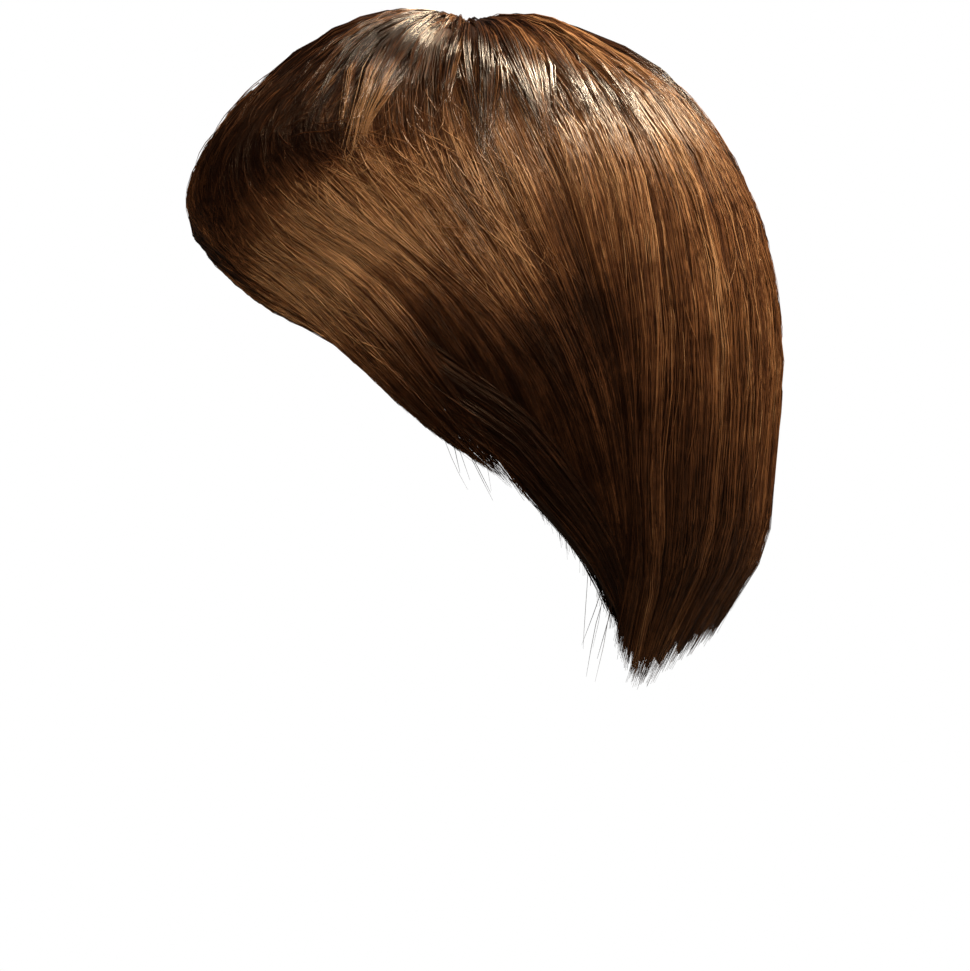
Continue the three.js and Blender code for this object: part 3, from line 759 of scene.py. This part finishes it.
# the crown layer turns about the whorl and ends in pointed locks; depths in mm, spread in degrees
crown = {
    "seed": 16, "swirl": 8, "swirlLevel": 1.2, "start": 0.1, "rings": 9,
    "grid": (16, 80), "underLevels": (0.06, 2.6), "underDepth": 3, "underWall": 2.5,
    "underSink": 5, "underSinkFrom": 1.3,
    "groove": {"azimuth": 76, "width": 7, "depth": 6, "levels": (0.5, 1.3)},
    "layers": [
        {"locks": 26, "guides": 4, "tips": (3, 3.6), "depth": 2.2, "gather": 0.9,
         "tone": 0.16, "width": 1.1},
        {"locks": 23, "guides": 5, "tips": (3.1, 3.9), "depth": 0.6, "gather": 0.2,
         "tone": 0.24, "width": 0.95},
    ],
    "lockJitter": (-0.3, 0.3), "lockOverlap": 1.15, "guideOverlap": 0.7, "step": 1,
    "rootDepth": 3, "rootShares": (0, 0.15), "tipSink": 1.7, "sinkShares": (0.4, 0.9), "drop": 1.8,
    "wave": 0.6, "waves": 12, "sway": 0.9, "sways": 4,  # waves and sways in radians
    "gatherShares": (0.5, 1),
    "tipJitter": (-0.1, 0.1), "lower": (-0.3, 0.3), "toneSpread": 0.12, "paintedLitTipShares": (0.62, 0.82),
    # single pointed locks on the left, with the level of the tip; the first is dark at the top and has its
    # lower end painted lighter where the lamps fall on it
    "pointLook": {"depth": 0, "gather": 0.2, "width": 0.9, "guides": 5},
    "points": [
        {"azimuth": 60, "tip": 4, "spread": 20, "tone": 0.15, "paintedLitTip": 1.2, "depth": -0.6},
        {"azimuth": 40, "tip": 3.4, "spread": 10, "tone": 0.4},
        {"azimuth": 71, "tip": 3.4, "spread": 8, "tone": 0.45},
        {"azimuth": 83, "tip": 3.3, "spread": 9, "tone": 0.5},
        {"azimuth": 138, "tip": 3.7, "spread": 8, "tone": 0.5},
    ],
    "strands": {"Seed": 106, "Tip Gather": 0.5, "Shortest": 0.88, "Frizz": 1.8 * mm, "Tone Spread": 0.45},
}


def crownPoints(azimuth, level, depth, sink=0):
    turned = azimuth + crown["swirl"] * (np.minimum(level, crown["swirlLevel"]) - crown["swirlLevel"])
    points, _ = formAt(turned, level)
    normal = formNormal(turned, level)
    depth = depth + sink * mm * crown["tipSink"]
    groove = crown["groove"]
    near = np.exp(-(((azimuth - groove["azimuth"] + 180) % 360 - 180) / groove["width"]) ** 2)
    dip = groove["depth"] * mm * near * smoothstep(level, *groove["levels"])
    return points - normal * (depth + dip)[..., None], normal


def crownLayer(azimuth, tip, spread, look, rng):  # one azimuth and one tip for each lock
    guides = look["guides"]
    place = np.tile(np.linspace(-1, 1, guides), len(azimuth))[:, None]
    azimuth, tip = (np.repeat(row, guides)[:, None] for row in (azimuth, tip))
    tip = tip + rng.uniform(*crown["tipJitter"], tip.shape)
    phase = rng.uniform(*lockHabit["phase"], tip.shape)
    lower = rng.uniform(*crown["lower"], tip.shape)

    def layAt(share, shift):
        level = crown["start"] + (tip - crown["start"]) * share
        lean = place * spread / 2 * (1 - (1 - look["gather"]) * smoothstep(share, *crown["gatherShares"]))
        sway = crown["sway"] * np.sin(phase + crown["sways"] * share)
        root = crown["rootDepth"] * (1 - smoothstep(share, *crown["rootShares"]))
        wave = crown["wave"] * np.sin(2 * phase + crown["waves"] * share)
        depth = (look["depth"] + lower + root + wave + crown["drop"] * place ** 2) * mm
        sink = smoothstep(share, *crown["sinkShares"])
        return crownPoints(azimuth + lean + sway + shift, level, depth, sink)

    tone = look["tone"] + rng.normal(0, crown["toneSpread"], tip.shape)
    # painted light: a lock's lower end is painted lighter where the lamps fall on it
    pale = smoothstep(np.linspace(0, 1, crown["rings"]), *crown["paintedLitTipShares"])
    tone = tone + look.get("paintedLitTip", 0) * pale
    half = spread / guides * crown["guideOverlap"]
    return makeGuides(layAt, len(tip), crown["rings"], crown["step"], half, tone, look["width"])


def makeCrown():
    rows, columns = crown["grid"]
    lowest = crown["underLevels"][1]
    rings = np.linspace(*crown["underLevels"], rows), np.linspace(0, 360, columns, endpoint=False)
    level, azimuth = np.meshgrid(*rings, indexing="ij")
    deeper = crown["underSink"] * mm * smoothstep(level, crown["underSinkFrom"], lowest)
    depth = crown["underDepth"] * mm + deeper
    outer, _ = crownPoints(azimuth, level, depth)
    inner, _ = crownPoints(azimuth, level, depth + crown["underWall"] * mm)
    makeWall("crownUnderHair", outer, inner, True, "crown_hair")
    rng = np.random.default_rng(crown["seed"])
    layers = []
    for layer in crown["layers"]:
        lane = 360 / layer["locks"]
        azimuth = (np.arange(layer["locks"]) + rng.uniform(*crown["lockJitter"], layer["locks"])) * lane
        tip = rng.uniform(*layer["tips"], layer["locks"])
        layers.append(crownLayer(azimuth, tip, lane * crown["lockOverlap"], layer, rng))
    for point in crown["points"]:
        look = {**crown["pointLook"], **point}
        azimuth, tip = np.array([point["azimuth"]]), np.array([point["tip"]])
        layers.append(crownLayer(azimuth, tip, point["spread"], look, rng))
    growStrands("crownStrands", layers, crownMaterial, crown["strands"])


makeCrown()


# loose hairs stand off the surface and cross the flow; depths in mm
strays = {
    "seed": 17, "rings": 6, "length": (0.03, 0.12), "depth": 0.6, "rise": (0, 1.2), "driftBend": 1.5,
    "tone": (0.5, 0.9), "half": 0.004, "width": 1,
    "zones": [
        {"section": fringe, "hairs": 380, "starts": (0.2, 0.8), "drift": 0.08, "span": (0.04, 0.96)},
        {"section": fringe, "hairs": 130, "starts": (0.5, 0.85), "drift": 0.3, "span": (0.35, 0.75)},
        {"section": sideLeft, "hairs": 440, "starts": (0.2, 0.8), "drift": 0.07, "span": (0.04, 0.96)},
        {"section": sideLeft, "hairs": 150, "starts": (0.35, 0.75), "drift": 0.22, "span": (0.25, 0.75)},
        {"section": backHair, "hairs": 340, "starts": (0.2, 0.8), "drift": 0.025, "span": (0.04, 0.96)},
        {"section": sideRight, "hairs": 140, "starts": (0.25, 0.78), "drift": 0.07, "span": (0.04, 0.96)},
    ],
    "strands": {
        "Strands per Lock": 1, "Strand Width": 0.32 * mm, "Seed": 107,
        "Frizz": 1.6 * mm, "Lift": 0, "Tone Spread": 0.2,
    },
}
# thin wisps past the lower edge, from one azimuth and level to another
wisps = {
    "hairs": 3, "spread": (1.5, 0.06), "bow": (-2, 2), "depth": 6, "sink": 5, "tone": (0.3, 0.6),
    "half": 0.3, "width": 0.9, "step": 1,
    "ends": [
        {"from": (80, 6.2), "to": (88, 7.25)},
        {"from": (85, 6.3), "to": (96, 7.45)},
        {"from": (112, 7.2), "to": (120, 8.05)},
        {"from": (125, 8), "to": (130, 8.85)},
        {"from": (128, 8), "to": (135, 9.05)},
    ],
}


def strayGuides(zone, rng):
    section, count = zone["section"], zone["hairs"]
    each = (count, 1)
    across = rng.uniform(*zone["span"], each)
    start = rng.uniform(*zone["starts"], each)
    length = rng.uniform(*strays["length"], each)
    drift = zone["drift"] * rng.uniform(-1, 1, each)
    rise = rng.uniform(*strays["rise"], each)
    tone = rng.uniform(*strays["tone"], each)

    def layAt(share, shift):
        lift = rise * (np.sin(np.pi * share) + share) / 2
        crossing = across + drift * share ** strays["driftBend"] + shift
        depth = (strays["depth"] - lift) * mm
        return sectionPoints(section, section["flow"], crossing, start + length * share, depth)

    step = lockHabit["step"]
    return makeGuides(layAt, count, strays["rings"], step, strays["half"], tone, strays["width"])


def wispGuides(ends, rng):
    count = wisps["hairs"]
    first = np.array(ends["from"]) + rng.normal(0, 1, (count, 2)) * wisps["spread"]
    last = np.array(ends["to"]) + rng.normal(0, 1, (count, 2)) * wisps["spread"]
    bow = rng.uniform(*wisps["bow"], (count, 1))
    tone = rng.uniform(*wisps["tone"], (count, 1))

    def layAt(share, shift):
        place = first[:, None] + (last - first)[:, None] * share[..., None]
        azimuth = place[..., 0] + bow * np.sin(np.pi * share) + shift
        points, _ = formAt(azimuth, place[..., 1])
        normal = formNormal(azimuth, place[..., 1])
        return points - normal * (wisps["depth"] + wisps["sink"] * share[..., None]) * mm, normal

    return makeGuides(layAt, count, strays["rings"], wisps["step"], wisps["half"], tone, wisps["width"])


def makeStrays():
    rng = np.random.default_rng(strays["seed"])
    layers = [strayGuides(zone, rng) for zone in strays["zones"]]
    layers += [wispGuides(ends, rng) for ends in wisps["ends"]]
    growStrands("strayHairs", layers, strandMaterial, strays["strands"])


makeStrays()


# camera, light and floor
view = {
    "lens": 180, "sensor": 36, "imageWidth": 970, "centrePixel": (485, 485.5), "whorlPixel": (469, 74),
    "perPixel": 0.41 * mm,
}


def makeCamera():
    data = bpy.data.cameras.new("camera")
    data.lens = view["lens"]
    data.sensor_width = view["sensor"]
    camera = newObject("camera", data)
    width = view["imageWidth"] * view["perPixel"]
    distance = width * view["lens"] / view["sensor"]
    y = (view["centrePixel"][0] - view["whorlPixel"][0]) * view["perPixel"]
    z = (view["whorlPixel"][1] - view["centrePixel"][1]) * view["perPixel"]
    camera.location = (distance, y, z)
    camera.rotation_euler = (math.radians(90), 0, math.radians(90))
    bpy.context.scene.camera = camera
    print("camera at", round(distance, 3), "m")


# directions in degrees: azimuth from the camera towards the back, and height; sizes in m
lampRig = {"aim": (0, 0, -0.08), "distance": 1.8}
lamps = {
    "key": {"azimuth": 55, "height": 48, "size": (0.4, 0.4), "power": 38, "colour": (1, 0.93, 0.85)},
    "strip": {"azimuth": 118, "height": 52, "size": (0.25, 0.6), "power": 54, "colour": (1, 0.88, 0.71)},
    "back": {"azimuth": 125, "height": 42, "size": (0.4, 0.4), "power": 28, "colour": (1, 0.86, 0.64)},
    "fill": {"azimuth": -8, "height": 22, "size": (0.6, 0.6), "power": 22, "colour": (1, 0.95, 0.9)},
}
dullLamps = ["fill"]  # these light the hair with no gloss


def makeLamps():
    aim = Vector(lampRig["aim"])
    for name, lamp in lamps.items():
        data = bpy.data.lights.new(name, "AREA")
        data.energy = lamp["power"]
        data.shape = "RECTANGLE"
        data.size, data.size_y = lamp["size"]
        data.color = lamp["colour"]
        light = newObject(name, data)
        light.visible_glossy = name not in dullLamps
        turn, tall = math.radians(lamp["azimuth"]), math.radians(lamp["height"])
        away = Vector((math.cos(tall) * math.cos(turn), math.cos(tall) * math.sin(turn), math.sin(tall)))
        light.location = aim + away * lampRig["distance"]
        light.rotation_euler = (-away).to_track_quat("-Z", "Y").to_euler()
    print("lamps:", ", ".join(lamps))


# a round floor that rises into a wall, in m; it and the world look white to the camera alone
studio = {
    "radius": 3.4, "wall": 1.5, "rise": 3, "below": 0.5, "steps": 40, "sides": 64,
    "pale": 0.06, "roughness": 0.9, "ambient": 0.05, "shown": 1.0,
}


def makeFloor():
    share = np.linspace(0, 1, studio["steps"] + 1)
    reach = studio["radius"] * np.sin(share * np.pi / 2)
    height = studio["wall"] * (1 - np.cos(share * np.pi / 2)) ** studio["rise"] - studio["below"]
    turn = np.linspace(0, 2 * np.pi, studio["sides"], endpoint=False)
    tall = np.broadcast_to(height[:, None], (len(share), len(turn)))
    points = np.stack([reach[:, None] * np.cos(turn), reach[:, None] * np.sin(turn), tall], -1)
    numbers = np.arange(points.shape[0] * points.shape[1]).reshape(points.shape[:2])
    numbers[0] = numbers[0, 0]
    nextColumn = np.roll(numbers, -1, 1)
    corners = np.stack([numbers[:-1], numbers[1:], nextColumn[1:], nextColumn[:-1]], -1)
    faces = [[a, b, c] if a == d else [a, b, c, d] for a, b, c, d in corners.reshape(-1, 4).tolist()]
    mesh = bpy.data.meshes.new("floor")
    mesh.from_pydata(points.reshape(-1, 3).tolist(), [], faces)
    mesh.polygons.foreach_set("use_smooth", np.ones(len(mesh.polygons), bool))
    material, tree, shader = newMaterial("paleFloor")
    shader.inputs["Base Color"].default_value = (studio["pale"],) * 3 + (1,)
    shader.inputs["Roughness"].default_value = studio["roughness"]
    seen = addNode(tree, "ShaderNodeLightPath").outputs["Is Camera Ray"]
    feeds = {"Color": (1, 1, 1, 1), "Strength": studio["shown"]}
    glow = addNode(tree, "ShaderNodeEmission", feeds).outputs[0]
    mix = addNode(tree, "ShaderNodeMixShader", {0: seen, 1: shader.outputs[0], 2: glow}).outputs[0]
    tree.links.new(mix, tree.nodes["Material Output"].inputs["Surface"])
    mesh.materials.append(material)
    newObject("floor", mesh)


def makeWorld():
    world = bpy.data.worlds.new("studio")
    world.use_nodes = True
    tree = world.node_tree
    back = tree.nodes["Background"]
    back.inputs["Color"].default_value = (1, 1, 1, 1)
    seen = addNode(tree, "ShaderNodeLightPath").outputs["Is Camera Ray"]
    strength = mapRange(tree, seen, (0, 1), (studio["ambient"], studio["shown"]))
    tree.links.new(strength, back.inputs["Strength"])
    bpy.context.scene.world = world


makeCamera()
makeLamps()
makeFloor()
makeWorld()
bpy.context.scene.view_settings.view_transform = "Standard"
print("stage set")
